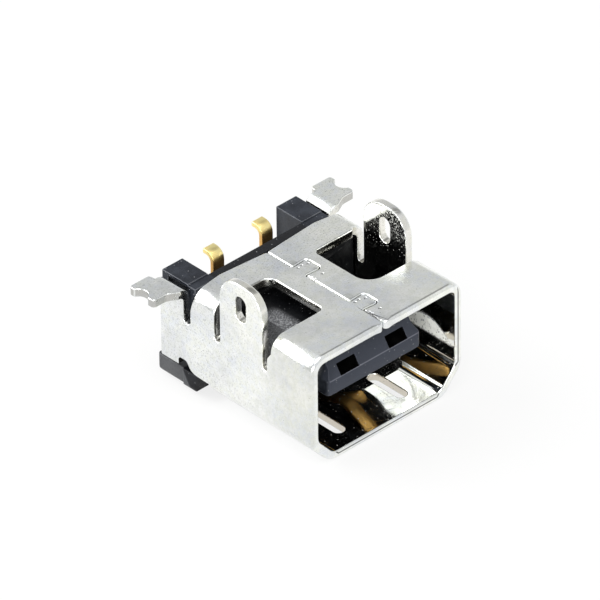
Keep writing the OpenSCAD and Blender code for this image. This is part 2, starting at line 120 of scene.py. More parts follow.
def weigh_edges(bm, least_angle, weight_at):
    """Gives each sharp outer edge the share of the full rounding that suits its place."""
    weight = bm.edges.layers.float.new("bevel_weight_edge")
    for edge in bm.edges:
        if len(edge.link_faces) == 2 and edge.is_convex and edge.calc_face_angle(0) > least_angle:
            edge[weight] = weight_at(edge.verts[0].co / MM, edge.verts[1].co / MM, edge)


def cut_across(bm, place, way):
    """Scores the mesh along a plane, so that the rounding can change its width there."""
    parts = bm.verts[:] + bm.edges[:] + bm.faces[:]
    bmesh.ops.bisect_plane(bm, geom=parts, dist=MERGE_DISTANCE, plane_co=place, plane_no=way)


# Node helpers

def add(tree, kind, **settings):
    """A new node, with its inputs or its own settings given by name."""
    node = tree.nodes.new(kind)
    for name, value in settings.items():
        if name in node.inputs:
            node.inputs[name].default_value = value
        else:
            setattr(node, name, value)
    return node


def join(tree, source, target):
    tree.links.new(source, target)


def feed(tree, socket, value):
    """Gives a socket a number, a colour or a link."""
    if isinstance(value, (int, float)):
        socket.default_value = value
    elif isinstance(value, tuple):
        socket.default_value = (*value, 1)
    else:
        tree.links.new(value, socket)


def math_node(tree, operation, a, b=None, clamp=False):
    node = tree.nodes.new("ShaderNodeMath")
    node.operation = operation
    node.use_clamp = clamp
    for socket, value in zip(node.inputs, (a, b)):
        if value is not None:
            feed(tree, socket, value)
    return node.outputs[0]


def times(tree, first, *others):
    """The product of all the values."""
    for other in others:
        first = math_node(tree, "MULTIPLY", first, other)
    return first


def distance_from(tree, value, middle):
    return math_node(tree, "ABSOLUTE", math_node(tree, "SUBTRACT", value, middle))


def mix_colour(tree, factor, a, b, blend="MIX"):
    node = tree.nodes.new("ShaderNodeMix")
    node.data_type = "RGBA"
    node.blend_type = blend
    for socket, value in ((node.inputs["Factor"], factor), (node.inputs[6], a), (node.inputs[7], b)):
        feed(tree, socket, value)
    return node.outputs[2]


def map_range(tree, value, low, high, to_low, to_high):
    """Goes softly from one number to another while the value goes from low to high."""
    node = tree.nodes.new("ShaderNodeMapRange")
    node.interpolation_type = "SMOOTHSTEP"
    tree.links.new(value, node.inputs["Value"])
    node.inputs["From Min"].default_value = low
    node.inputs["From Max"].default_value = high
    node.inputs["To Min"].default_value = to_low
    node.inputs["To Max"].default_value = to_high
    return node.outputs["Result"]


def rises(tree, value, low, high):
    """0 below low, 1 above high."""
    return map_range(tree, value, low, high, 0.0, 1.0)


def falls(tree, value, low, high):
    """1 below low, 0 above high."""
    return map_range(tree, value, low, high, 1.0, 0.0)


def between(tree, value, start, end):
    """1 between two soft steps, each given as its low and its high end."""
    return times(tree, rises(tree, value, *start), falls(tree, value, *end))


def place_in_mm(tree):
    """The point on the part, in millimetres."""
    place = tree.nodes.new("ShaderNodeTexCoord").outputs["Object"]
    scaled = add(tree, "ShaderNodeVectorMath", operation="SCALE")
    scaled.inputs["Scale"].default_value = 1 / MM
    join(tree, place, scaled.inputs[0])
    return scaled.outputs[0]


def axes_of(tree, place):
    """The point's X, Y and Z."""
    spot = tree.nodes.new("ShaderNodeSeparateXYZ")
    join(tree, place, spot.inputs[0])
    return spot.outputs["X"], spot.outputs["Y"], spot.outputs["Z"]


def face_mark(tree, name):
    """A mark that the mesh carries on its faces."""
    return add(tree, "ShaderNodeAttribute", attribute_name=name).outputs["Fac"]


def noise(tree, place, scale, detail, roughness=0.5, distortion=0.0):
    node = tree.nodes.new("ShaderNodeTexNoise")
    tree.links.new(place, node.inputs["Vector"])
    node.inputs["Scale"].default_value = scale
    node.inputs["Detail"].default_value = detail
    node.inputs["Roughness"].default_value = roughness
    node.inputs["Distortion"].default_value = distortion
    return node.outputs["Fac"]


def group_tree(name, inputs):
    """A new group that makes a mask from a place and some numbers."""
    tree = bpy.data.node_groups.new(name, "ShaderNodeTree")
    tree.interface.new_socket("Place", in_out="INPUT", socket_type="NodeSocketVector")
    for label, value in inputs:
        socket = tree.interface.new_socket(label, in_out="INPUT", socket_type="NodeSocketFloat")
        socket.default_value = value
    tree.interface.new_socket("Mask", in_out="OUTPUT", socket_type="NodeSocketFloat")
    return tree, tree.nodes.new("NodeGroupInput"), tree.nodes.new("NodeGroupOutput")


def mask_of(tree, group, place, **numbers):
    """The mask that a group makes at a place."""
    node = tree.nodes.new("ShaderNodeGroup")
    node.node_tree = group
    join(tree, place, node.inputs["Place"])
    for name, number in numbers.items():
        node.inputs[name].default_value = number
    return node.outputs["Mask"]


# Effects that several finishes share

LINE_STRETCH = (0.35, 9.0, 3.0)


def hairlines_group():
    """Fine scratches along one direction, broken up so that few run far."""
    tree, given, result = group_tree("hairlines", [("Turn", 0.0), ("Share", 0.1)])
    turned = add(tree, "ShaderNodeVectorRotate", rotation_type="Z_AXIS")
    join(tree, given.outputs["Place"], turned.inputs["Vector"])
    join(tree, given.outputs["Turn"], turned.inputs["Angle"])
    drawn = add(tree, "ShaderNodeVectorMath", operation="MULTIPLY")
    join(tree, turned.outputs[0], drawn.inputs[0])
    drawn.inputs[1].default_value = LINE_STRETCH
    lines = noise(tree, drawn.outputs[0], 1.6, 2, 0.6, 0.3)
    least = math_node(tree, "SUBTRACT", 0.74, given.outputs["Share"])
    over_least = math_node(tree, "SUBTRACT", lines, least)
    sharp = math_node(tree, "MULTIPLY", over_least, 14.0, clamp=True)
    patches = rises(tree, noise(tree, given.outputs["Place"], 0.8, 2), 0.4, 0.62)
    join(tree, times(tree, sharp, patches), result.inputs["Mask"])
    return tree


def specks_group():
    """Small round specks, of which a share is kept."""
    tree, given, result = group_tree("specks", [("Density", 4.0), ("Size", 0.2), ("Share", 0.5)])
    cells = add(tree, "ShaderNodeTexVoronoi", feature="F1")
    join(tree, given.outputs["Place"], cells.inputs["Vector"])
    join(tree, given.outputs["Density"], cells.inputs["Scale"])
    near = math_node(tree, "SUBTRACT", given.outputs["Size"], cells.outputs["Distance"])
    speck = math_node(tree, "MULTIPLY", near, 12.0, clamp=True)
    chance = add(tree, "ShaderNodeSeparateColor")
    join(tree, cells.outputs["Color"], chance.inputs[0])
    kept = math_node(tree, "LESS_THAN", chance.outputs[0], given.outputs["Share"])
    join(tree, times(tree, speck, kept), result.inputs["Mask"])
    return tree


HAIRLINES = hairlines_group()
SPECKS = specks_group()


def new_material(name):
    material = bpy.data.materials.new(name)
    material.use_nodes = True
    tree = material.node_tree
    return material, tree, tree.nodes["Principled BSDF"]


def bumped(tree, shader, height, strength, distance_mm):
    bump = tree.nodes.new("ShaderNodeBump")
    bump.inputs["Strength"].default_value = strength
    bump.inputs["Distance"].default_value = distance_mm * MM
    tree.links.new(height, bump.inputs["Height"])
    tree.links.new(bump.outputs["Normal"], shader.inputs["Normal"])


# Plate: its colours

PLATE_PALE = (0.90, 0.90, 0.87)
PLATE_BLUE = (0.77, 0.795, 0.83)
PLATE_WARM = (0.80, 0.81, 0.75)
PLATE_DIMMED = (0.93, 0.94, 0.97)
# Lighter tone; towards the right side it carries a painted highlight
PLATE_LIFTED = (1.10, 1.10, 1.08)
PLATE_SHADED = (0.86, 0.86, 0.85)
PLATE_DIRT = (0.42, 0.43, 0.44)
# Dust, and the pale painted reflection on the right-hand wall
PLATE_DUST_AND_PAINTED_REFLECTION = (0.93, 0.93, 0.87)
PLATE_PIT = (0.25, 0.24, 0.22)
PLATE_DOT = (0.3, 0.3, 0.3)
# Painted dark reflection in the mouth's rim
PAINTED_REFLECTION_DARK = (0.03, 0.03, 0.03)
# Painted shade deep inside the tube
DEEP_PAINTED_SHADE = (0.03, 0.03, 0.03)
WINDOW_REAR_DARK = (0.15, 0.14, 0.12)
# Painted shade over the rolled edges' highlight where the seam is closed
CLOSED_SEAM_PAINTED_SHADE = (0.12, 0.12, 0.12)
PUNCH_DARK = (0.10, 0.10, 0.10)
# Painted brown reflection in the cut slots
SLOT_PAINTED_REFLECTION = (0.66, 0.60, 0.50)
# Painted dark reflection on the wings' cut edges
WING_EDGE_PAINTED_REFLECTION = (0.33, 0.33, 0.32)

# Plate: where its patches begin and end, in millimetres
# Where the right side is lifted by a painted highlight
PAINTED_HIGHLIGHT_X = (0.4, 2.6)
SHADED_Y = (-3.6, -1.4)
LEFT_WALL_X = (-4.1, -3.95)
DIRTY_Y = (-2.5, 1.5)
DEEP_Y = (-2.3, -1.6)
WING_HALF_X = (4.3, 4.6)
SLOTS_Y = (-4.5, -4.2)
SLOTS_Z = (2.6, 3.4)
SPARKS_Z = (4.6, 5.4)
FROST_Z = (5.3, 6.6)
WINDOW_HALF_X = (1.3, 1.35)
OFF_WINDOW_REAR = (0.04, 0.08)
CLOSED_SEAM_Y = ((-4.42, -4.38), (-3.58, -3.54))
CLOSED_SEAM_OFF_X = (0.08, 0.11)

# A painted dark reflection, drawn as a line in the mouth's rim: how far from the inside, how wide, and where
DARK_REFLECTION_DEPTH = 0.13
OFF_DARK_REFLECTION = (0.01, 0.04)
DARK_REFLECTION_SHARE = 0.95
RIM_FACE_Y = (-4.69, -4.66)
RIGHT_OR_LOW = (-4.6, -3.9)

# Marks that the punch left beside each tab, from the seam and the tab's middle
PUNCH_MARKS = ((0.12, 0.2), (0.34, 0.22), (0.62, 0.13), (0.55, -0.78), (0.06, -0.84), (0.05, -0.68))
PUNCH_MARK_RADIUS = (0.035, 0.08)

# The painted reflection, a pale crescent on the right-hand wall
CRESCENT_MIDDLE_Y = -2.95
CRESCENT_HALF_LENGTH = 1.7
CRESCENT_FOOT_Z = 2.06
CRESCENT_SOFT_TOP = (0.0, 0.22)
CRESCENT_SOFT_FOOT = (0.0, 0.2)
CRESCENT_FRONT_Y = (-4.56, -4.5)
OFF_WALL = (0.02, 0.04)

# The faint dish in the tube's floor: where it starts, how it rises with the square of the way, and its ends
DISH_START = (1.5, -4.1)
DISH_RISE = (0.036, 0.034)
DISH_X = (0.1, 0.9)
DISH_Y = (-2.4, -1.8)
DISH_Z = (0.5, 0.62)

# Plate: how rough it is, and how deep its relief goes in millimetres, outside and inside the tube
PLATE_ROUGHNESS = (0.14, 0.22)
SCRATCHED_ROUGHER = 0.16
INSIDE_SMOOTHER = 0.12
MILKY_ROUGHER = 0.5
LEAST_ROUGHNESS = 0.035
GRAIN_HEIGHT = 0.35
SCRATCH_DEPTH = 0.10
PIT_DEPTH = 0.8
PUNCH_DEPTH = 7.0
RELIEF_OUTSIDE = 0.006
RELIEF_INSIDE = 0.00072


def clouded_colour(tree, x, y, place, cloud):
    """The plate's colour before any mark: clouds, warm blotches, a right side lifted by a painted highlight,
    and a left front darkened by painted shade.
    """
    blotch = rises(tree, noise(tree, place, 3.1, 3, 0.55, 0.4), 0.38, 0.64)
    colour = mix_colour(tree, cloud, PLATE_PALE, PLATE_BLUE)
    colour = mix_colour(tree, times(tree, blotch, 0.7), colour, PLATE_WARM)
    broad = rises(tree, noise(tree, place, 0.42, 3, 0.6), 0.36, 0.62)
    # Painted highlight: the right side is made lighter
    broad = math_node(tree, "MAXIMUM", broad, rises(tree, x, *PAINTED_HIGHLIGHT_X))
    colour = mix_colour(tree, 1.0, colour, mix_colour(tree, broad, PLATE_DIMMED, PLATE_LIFTED), "MULTIPLY")
    left_front = times(tree, falls(tree, y, *SHADED_Y), falls(tree, x, *LEFT_WALL_X))
    return mix_colour(tree, left_front, colour, mix_colour(tree, 1.0, colour, PLATE_SHADED, "MULTIPLY"))


def painted_dark_reflection_line(tree, x, y, z, half_x):
    """Mask of the painted dark reflection, a line in the rim of the mouth, on its right and lower sides."""
    past_side = math_node(tree, "SUBTRACT", half_x, INNER_WALL_X)
    past_floor = math_node(tree, "SUBTRACT", SHEET, z)
    slant = math_node(tree, "SUBTRACT", math_node(tree, "SUBTRACT", half_x, z), RIM_SLANT)
    past_slant = times(tree, slant, math.sqrt(0.5))
    from_inside = math_node(tree, "MAXIMUM", math_node(tree, "MAXIMUM", past_side, past_floor), past_slant)
    off_line = distance_from(tree, from_inside, DARK_REFLECTION_DEPTH)
    line = times(tree, falls(tree, off_line, *OFF_DARK_REFLECTION), DARK_REFLECTION_SHARE)
    at_mouth = falls(tree, y, *RIM_FACE_Y)
    right_or_low = rises(tree, math_node(tree, "SUBTRACT", x, z), *RIGHT_OR_LOW)
    return times(tree, line, at_mouth, right_or_low)


def window_rear(tree, y, half_x, cut):
    """Mask of the cut side at the rear of each window."""
    near = falls(tree, distance_from(tree, y, WINDOW_REAR_Y), *OFF_WINDOW_REAR)
    return times(tree, cut, rises(tree, half_x, *WINDOW_HALF_X), near)


def punch_marks(tree, place):
    """Mask of the small marks that the punch left beside each jigsaw tab when it pressed the seam shut."""
    nearest = None
    for tab_y in TAB_MIDDLES_Y:
        for mark_x, mark_y in PUNCH_MARKS:
            node = add(tree, "ShaderNodeVectorMath", operation="DISTANCE")
            join(tree, place, node.inputs[0])
            node.inputs[1].default_value = (SEAM_X + mark_x, tab_y + mark_y, TOP_Z)
            away = node.outputs["Value"]
            nearest = away if nearest is None else math_node(tree, "MINIMUM", nearest, away)
    return falls(tree, nearest, *PUNCH_MARK_RADIUS)


def painted_reflection_crescent(tree, x, y, z, place, grain):
    """Mask of the painted reflection, a pale matte crescent on the right-hand wall just inside the mouth."""
    from_middle = math_node(tree, "SUBTRACT", y, CRESCENT_MIDDLE_Y)
    from_middle = math_node(tree, "DIVIDE", from_middle, CRESCENT_HALF_LENGTH)
    arch = math_node(tree, "SUBTRACT", 1.0, times(tree, from_middle, from_middle))
    above = math_node(tree, "SUBTRACT", z, CRESCENT_FOOT_Z)
    under_arch = rises(tree, math_node(tree, "SUBTRACT", arch, above), *CRESCENT_SOFT_TOP)
    over_foot = rises(tree, above, *CRESCENT_SOFT_FOOT)
    on_wall = falls(tree, distance_from(tree, x, INNER_WALL_X), *OFF_WALL)
    crescent = times(tree, under_arch, over_foot, on_wall, rises(tree, y, *CRESCENT_FRONT_Y))
    bare = times(tree, mask_of(tree, SPECKS, place, Density=8.0, Size=0.36, Share=0.6), 0.5)
    grainy = map_range(tree, grain, 0.38, 0.58, 0.5, 0.95)
    return times(tree, crescent, grainy, math_node(tree, "SUBTRACT", 1.0, bare))


def dusted_inside(tree, z, place, grain, inside):
    """Mask of the white flecks inside the tube and of the frost on the ears' inner faces."""
    flecks = mask_of(tree, SPECKS, place, Density=7.0, Size=0.2, Share=0.35)
    frost = times(tree, rises(tree, grain, 0.5, 0.6), rises(tree, z, *FROST_Z))
    sparks = mask_of(tree, SPECKS, place, Density=10.0, Size=0.3, Share=0.36)
    frost = math_node(tree, "MAXIMUM", frost, times(tree, sparks, rises(tree, z, *SPARKS_Z)))
    return times(tree, math_node(tree, "MAXIMUM", flecks, frost), inside, 0.6)


def squared_past(tree, value, start):
    """How far the value is past its start, squared; nothing before it."""
    past = math_node(tree, "MAXIMUM", math_node(tree, "SUBTRACT", value, start), 0.0)
    return times(tree, past, past)


def dished_floor(tree, x, y, z):
    """Height in millimetres of the faint dish in the tube's floor, at its right-hand front corner."""
    to_side = times(tree, squared_past(tree, x, DISH_START[0]), DISH_RISE[0])
    to_rear = times(tree, squared_past(tree, y, DISH_START[1]), DISH_RISE[1])
    rise = math_node(tree, "ADD", to_side, to_rear)
    return times(tree, rise, falls(tree, z, *DISH_Z), rises(tree, x, *DISH_X), falls(tree, y, *DISH_Y))


def plated_sheet(name, rolled=False):
    """Nickel plate on stamped sheet: clouded outside, mirror-like inside, with a painted brown reflection in
    the cut slots.
    """
    material, tree, shader = new_material(name)
    place = place_in_mm(tree)
    x, y, z = axes_of(tree, place)
    half_x = math_node(tree, "ABSOLUTE", x)
    cut = face_mark(tree, "cut")
    inside = face_mark(tree, "inside")
    outside = math_node(tree, "SUBTRACT", 1.0, inside, clamp=True)
    cloud = rises(tree, noise(tree, place, 0.8, 5, 0.62), 0.34, 0.66)
    grain = noise(tree, place, 13.0, 4, 0.7)
    wave = noise(tree, place, 2.4, 2)
    across = mask_of(tree, HAIRLINES, place, Turn=0.35, Share=0.13)
    along = mask_of(tree, HAIRLINES, place, Turn=1.75, Share=0.11)
    scratches = math_node(tree, "MAXIMUM", across, along)
    pits = mask_of(tree, SPECKS, place, Density=5.5, Size=0.17, Share=0.16)
    dots = mask_of(tree, SPECKS, place, Density=11.0, Size=0.2, Share=0.2)
    punched = punch_marks(tree, place)

    colour = clouded_colour(tree, x, y, place, cloud)
    dirt = times(tree, rises(tree, grain, 0.5, 0.72), map_range(tree, y, *DIRTY_Y, 0.3, 0.75))
    colour = mix_colour(tree, times(tree, dirt, outside), colour, PLATE_DIRT)
    # Painted dark reflection: a dark line in the mouth's rim
    colour = mix_colour(tree, painted_dark_reflection_line(tree, x, y, z, half_x), colour, PAINTED_REFLECTION_DARK)
    # Painted shade: the tube's inside darkens towards the rear
    deep = times(tree, inside, rises(tree, y, *DEEP_Y))
    colour = mix_colour(tree, times(tree, deep, 0.75), colour, DEEP_PAINTED_SHADE)
    colour = mix_colour(tree, times(tree, window_rear(tree, y, half_x, cut), 0.75), colour, WINDOW_REAR_DARK)
    if rolled:
        # Painted shade: the rolled edges' highlight is darkened where the seam is closed
        at_seam = falls(tree, distance_from(tree, x, SEAM_X), *CLOSED_SEAM_OFF_X)
        painted_seam_shade = times(tree, at_seam, between(tree, y, *CLOSED_SEAM_Y))
        colour = mix_colour(tree, times(tree, painted_seam_shade, 0.9), colour, CLOSED_SEAM_PAINTED_SHADE)
    colour = mix_colour(tree, times(tree, punched, 0.5), colour, PUNCH_DARK)
    # Painted reflection: a pale matte crescent on the right-hand wall, joined with the dust
    crescent = painted_reflection_crescent(tree, x, y, z, place, grain)
    dust_and_painted_reflection = math_node(tree, "MAXIMUM", crescent, dusted_inside(tree, z, place, grain, inside))
    colour = mix_colour(tree, dust_and_painted_reflection, colour, PLATE_DUST_AND_PAINTED_REFLECTION)
    if not rolled:
        # Painted reflection: a brown tint in the cut slots, stronger low down
        painted_slot_reflection = times(tree, cut, rises(tree, y, *SLOTS_Y), map_range(tree, z, *SLOTS_Z, 0.8, 0.3))
        colour = mix_colour(tree, painted_slot_reflection, colour, SLOT_PAINTED_REFLECTION)
        # Painted dark reflection: the wings' cut edges are greyed
        painted_wing_reflection = times(tree, cut, rises(tree, half_x, *WING_HALF_X))
        colour = mix_colour(tree, times(tree, painted_wing_reflection, 0.6), colour, WING_EDGE_PAINTED_REFLECTION)
    colour = mix_colour(tree, times(tree, pits, 0.6), colour, PLATE_PIT)
    colour = mix_colour(tree, times(tree, dots, 0.25), colour, PLATE_DOT)
    join(tree, colour, shader.inputs["Base Color"])
    join(tree, math_node(tree, "SUBTRACT", 1.0, times(tree, dust_and_painted_reflection, 0.95)), shader.inputs["Metallic"])

    dull = map_range(tree, cloud, 0, 1, *PLATE_ROUGHNESS)
    dull = math_node(tree, "ADD", dull, times(tree, scratches, SCRATCHED_ROUGHER))
    dull = math_node(tree, "SUBTRACT", dull, times(tree, inside, INSIDE_SMOOTHER), clamp=True)
    dull = math_node(tree, "ADD", dull, times(tree, dust_and_painted_reflection, MILKY_ROUGHER))
    join(tree, math_node(tree, "MAXIMUM", dull, LEAST_ROUGHNESS), shader.inputs["Roughness"])

    height = math_node(tree, "ADD", times(tree, grain, GRAIN_HEIGHT), wave)
    height = math_node(tree, "SUBTRACT", height, times(tree, scratches, SCRATCH_DEPTH))
    height = math_node(tree, "SUBTRACT", height, times(tree, pits, PIT_DEPTH))
    height = math_node(tree, "SUBTRACT", height, times(tree, punched, PUNCH_DEPTH))
    height = times(tree, height, map_range(tree, inside, 0, 1, RELIEF_OUTSIDE, RELIEF_INSIDE))
    if not rolled:
        height = math_node(tree, "ADD", height, times(tree, dished_floor(tree, x, y, z), inside))
    bumped(tree, shader, height, 1.0, 1.0)
    return material


# Moulding: its colours

MOULDED_DARK = (0.011, 0.013, 0.018)
MOULDED_PALE = (0.026, 0.030, 0.039)
# Painted highlight on the moulding's rounded edges
EDGE_HIGHLIGHT_DARK = (0.060, 0.064, 0.074)
EDGE_HIGHLIGHT_PALE = (0.110, 0.115, 0.128)
# Painted shade deep in the openings
OPENING_PAINTED_SHADE = (0.001, 0.001, 0.001)
OPENING_PAINTED_SHADE_PALE = (0.003, 0.003, 0.003)
# Painted light on the tongue's front
TONGUE_PAINTED_LIGHT = (0.037, 0.042, 0.057)
# Painted shade inside the tube
TUBE_PAINTED_SHADE = (0.002, 0.002, 0.002)
# Dust, and the painted light that falls through the left window onto the tongue
TONGUE_DUST_AND_PAINTED_LIGHT = (0.34, 0.345, 0.36)
# Painted light on the foot's side
FOOT_PAINTED_LIGHT = (0.075, 0.076, 0.078)
# Painted shade on the foot's bar and the rear strip
BAR_AND_STRIP_PAINTED_SHADE = (0.003, 0.003, 0.004)
# Painted highlight along the lip's edge
LIP_PAINTED_HIGHLIGHT = (0.13, 0.135, 0.16)
LOOSE_DUST = (0.45, 0.45, 0.46)

# Moulding: where its patches begin and end, in millimetres
TONGUE_FRONT_Y = (-3.6, -3.38)
TONGUE_HALF_X = (2.5, 2.57)
TUBE_Y = ((-3.5, -3.1), (2.2, 2.5))
DUST_AND_LIGHT_X = (-1.8, -1.35)
DUST_AND_LIGHT_Y = (-0.1, 0.5)
FOOT_Z = (1.05, 1.3)
BAR_REAR = (2.52, 2.62)
BAR_LEAN = 0.6
STRIP_HALF_X = (2.5, 2.6)
STRIP_Z = (4.6, 4.8)
OFF_LIP = (0.012, 0.035)

# Moulding: how rough it is, and how much it shines on its faces and in the openings
MOULDED_ROUGHNESS = (0.36, 0.5)
FACE_SHINE = 0.2
OPENING_SHINE = 0.04


def shaded_by_place(tree, x, y, z, grain, colour):
    """Painted light greys the tongue's front, its left side where there is also dust, and the foot; painted
    shade blackens the tube, bar and strip.
    """
    half_x = math_node(tree, "ABSOLUTE", x)
    # Painted light: the tongue's front is made greyer
    front = times(tree, falls(tree, y, *TONGUE_FRONT_Y), falls(tree, half_x, *TONGUE_HALF_X))
    colour = mix_colour(tree, times(tree, front, 0.8), colour, TONGUE_PAINTED_LIGHT)
    # Painted shade: the moulding inside the tube is made blacker
    within = between(tree, y, *TUBE_Y)
    colour = mix_colour(tree, times(tree, within, 0.85), colour, TUBE_PAINTED_SHADE)
    # Dust and painted light: a grainy pale patch on the tongue's left
    dust_and_painted_light = times(tree, falls(tree, x, *DUST_AND_LIGHT_X), falls(tree, y, *DUST_AND_LIGHT_Y), within)
    dust_and_painted_light = times(tree, dust_and_painted_light, map_range(tree, grain, 0.42, 0.68, 0.2, 1.0))
    colour = mix_colour(tree, dust_and_painted_light, colour, TONGUE_DUST_AND_PAINTED_LIGHT)
    low = falls(tree, z, *FOOT_Z)
    behind_bar = rises(tree, math_node(tree, "SUBTRACT", y, times(tree, z, BAR_LEAN)), *BAR_REAR)
    on_foot = times(tree, low, behind_bar)
    # Painted light: the foot's side is made greyer, mottled by the grain
    lit_foot = times(tree, on_foot, map_range(tree, grain, 0.3, 0.7, 0.4, 0.95))
    colour = mix_colour(tree, lit_foot, colour, FOOT_PAINTED_LIGHT)
    on_bar = math_node(tree, "SUBTRACT", low, on_foot, clamp=True)
    on_strip = times(tree, falls(tree, half_x, *STRIP_HALF_X), rises(tree, z, *STRIP_Z))
    # Painted shade: bar and strip are made blacker
    black = math_node(tree, "MAXIMUM", on_bar, on_strip)
    return mix_colour(tree, times(tree, black, 0.85), colour, BAR_AND_STRIP_PAINTED_SHADE)


def moulded_plastic(name, dark=MOULDED_DARK, pale=MOULDED_PALE, deep=False):
    """Black moulding compound: a fine matte grain, a painted highlight along the lip's edge, and a little dust
    but in the openings.
    """
    material, tree, shader = new_material(name)
    place = place_in_mm(tree)
    x, y, z = axes_of(tree, place)
    cloud = rises(tree, noise(tree, place, 1.3, 4, 0.6), 0.35, 0.68)
    grain = noise(tree, place, 22.0, 3, 0.6)
    colour = mix_colour(tree, cloud, dark, pale)
    if not deep:
        colour = shaded_by_place(tree, x, y, z, grain, colour)
    # Painted highlight: a pale line along the lip's edge
    off_lip = math_node(tree, "MAXIMUM", distance_from(tree, y, LIP_EDGE_Y), distance_from(tree, z, LIP_EDGE_Z))
    colour = mix_colour(tree, times(tree, falls(tree, off_lip, *OFF_LIP), 0.8), colour, LIP_PAINTED_HIGHLIGHT)
    if not deep:
        dust = mask_of(tree, SPECKS, place, Density=7.5, Size=0.17, Share=0.3)
        colour = mix_colour(tree, times(tree, dust, 0.7), colour, LOOSE_DUST)
    join(tree, colour, shader.inputs["Base Color"])
    shader.inputs["Specular IOR Level"].default_value = OPENING_SHINE if deep else FACE_SHINE
    join(tree, map_range(tree, cloud, 0, 1, *MOULDED_ROUGHNESS), shader.inputs["Roughness"])
    bumped(tree, shader, grain, 0.35, 0.03)
    return material


# Gold: its colours, where painted shade turns it browner in millimetres, and how rough it is

GOLD_PALE = (1.0, 0.86, 0.40)
GOLD_DEEP = (0.96, 0.75, 0.29)
GOLD_PAINTED_SHADE = (0.72, 0.42, 0.13)
GOLD_THIN = (0.5, 0.31, 0.10)
GOLD_SHADE_Z = (4.7, 5.05)
GOLD_ROUGHNESS = (0.32, 0.42)


def gilded_strip(name):
    """Gold plate on spring strip: bright on the bends, browner low down with painted shade, and browner where
    the plating is thin.
    """
    material, tree, shader = new_material(name)
    place = place_in_mm(tree)
    z = axes_of(tree, place)[2]
    cloud = rises(tree, noise(tree, place, 1.6, 4, 0.6), 0.35, 0.68)
    grain = noise(tree, place, 18.0, 3, 0.6)
    lines = mask_of(tree, HAIRLINES, place, Turn=1.6, Share=0.14)
    thin = mask_of(tree, SPECKS, place, Density=4.5, Size=0.2, Share=0.2)
    colour = mix_colour(tree, cloud, GOLD_PALE, GOLD_DEEP)
    # Painted shade: the gold turns browner low down
    colour = mix_colour(tree, falls(tree, z, *GOLD_SHADE_Z), colour, GOLD_PAINTED_SHADE)
    colour = mix_colour(tree, times(tree, thin, 0.4), colour, GOLD_THIN)
    join(tree, colour, shader.inputs["Base Color"])
    shader.inputs["Metallic"].default_value = 1.0
    dull = map_range(tree, cloud, 0, 1, *GOLD_ROUGHNESS)
    dull = math_node(tree, "ADD", dull, times(tree, lines, 0.12))
    join(tree, dull, shader.inputs["Roughness"])
    bumped(tree, shader, grain, 0.15, 0.02)
    return material


PLATE = plated_sheet("nickel plate on sheet")
PLATE_EDGE = plated_sheet("rolled plated edge", rolled=True)
MOULDING = moulded_plastic("black moulding")
# Painted highlight: the moulding's rounded edges are made paler
MOULDING_HIGHLIGHT_EDGE = moulded_plastic("moulding edge with painted highlight", EDGE_HIGHLIGHT_DARK, EDGE_HIGHLIGHT_PALE)
# Painted shade: the moulding deep in the openings is made near black
MOULDING_SHADED_DEEP = moulded_plastic("moulding in painted shade deep in the openings", OPENING_PAINTED_SHADE, OPENING_PAINTED_SHADE_PALE, deep=True)
GOLD = gilded_strip("gold plate on strip")


# The pieces

SHELL_ROUNDING = 0.2 * MM
HOUSING_ROUNDING = 0.03 * MM
CONTACT_ROUNDING = 0.04 * MM

# Shares of the shell's full rounding
REAR_SHARE = 0.2
SEAM_FRONT_SHARE = 0.12
OUTER_SHARE = 0.36
INNER_SHARE = 0.18
MOUTH_SHARES = (0.36, 0.64, 1.0)

# Where the shell's rounding changes, in millimetres
MOUTH_FACE_Y = -4.69
TOP_BAND_Z = 4.8
SEAM_HALF_WIDTH = 0.1
SEAM_FRONT_Y = (-4.4, -3.6)
WINGS_Y = 2.7
NOTCHES_Y = 1.2
NOTCHES_Z = 1.9

# The foot's underside, and the two openings through which the contacts show, in millimetres
ROUND_FOOT_Z = 0.6
OPENING_HALF_X = (0.8, 1.88)
OPENING_Y = (-3.92, -1.2)
OPENING_Z = (2.6, 3.7)

# A face narrower than this was cut through the sheet
CUT_FACE_WIDTH = 1.1 * SHEET * MM


def mark_sheet_faces(bm):
    """Marks the faces where the sheet was cut through, and those that look into the tube."""
    cut = bm.faces.layers.float.new("cut")
    inside = bm.faces.layers.float.new("inside")
    for face in bm.faces:
        rim = sum(e.calc_length() for e in face.edges
                  if len(e.link_faces) == 2 and e.calc_face_angle(0) > SHEET_EDGE_ANGLE)
        is_cut = rim > 0 and 2 * face.calc_area() / rim < CUT_FACE_WIDTH
        face[cut] = 1.0 if is_cut else 0.0
        middle = face.calc_center_median()
        to_axis = Vector((-middle.x, 0, TUBE_MIDDLE_Z * MM - middle.z))
        face[inside] = 1.0 if not is_cut and face.normal.dot(to_axis) > 0 else 0.0


def shell_rounding(a, b, edge):
    """Large round the mouth, less where the seam meets it, small on other outer edges, least inside."""
    middle = (a + b) / 2
    outward = sum((f.normal for f in edge.link_faces), Vector())
    outer = outward.dot(Vector((middle.x, 0, middle.z - TUBE_MIDDLE_Z))) > 0
    from_seam = abs(middle.x - SEAM_X) if middle.z > TOP_BAND_Z else math.inf
    if middle.y > WINGS_Y or (middle.z < NOTCHES_Z and middle.y > NOTCHES_Y):
        return REAR_SHARE
    if middle.y < MOUTH_FACE_Y:
        share = MOUTH_SHARES[sum(from_seam > reach for reach in SEAM_EASE)]
        return share if outer else 0.5 * share
    if from_seam < SEAM_HALF_WIDTH and SEAM_FRONT_Y[0] < middle.y < SEAM_FRONT_Y[1]:
        return SEAM_FRONT_SHARE
    return OUTER_SHARE if outer else INNER_SHARE


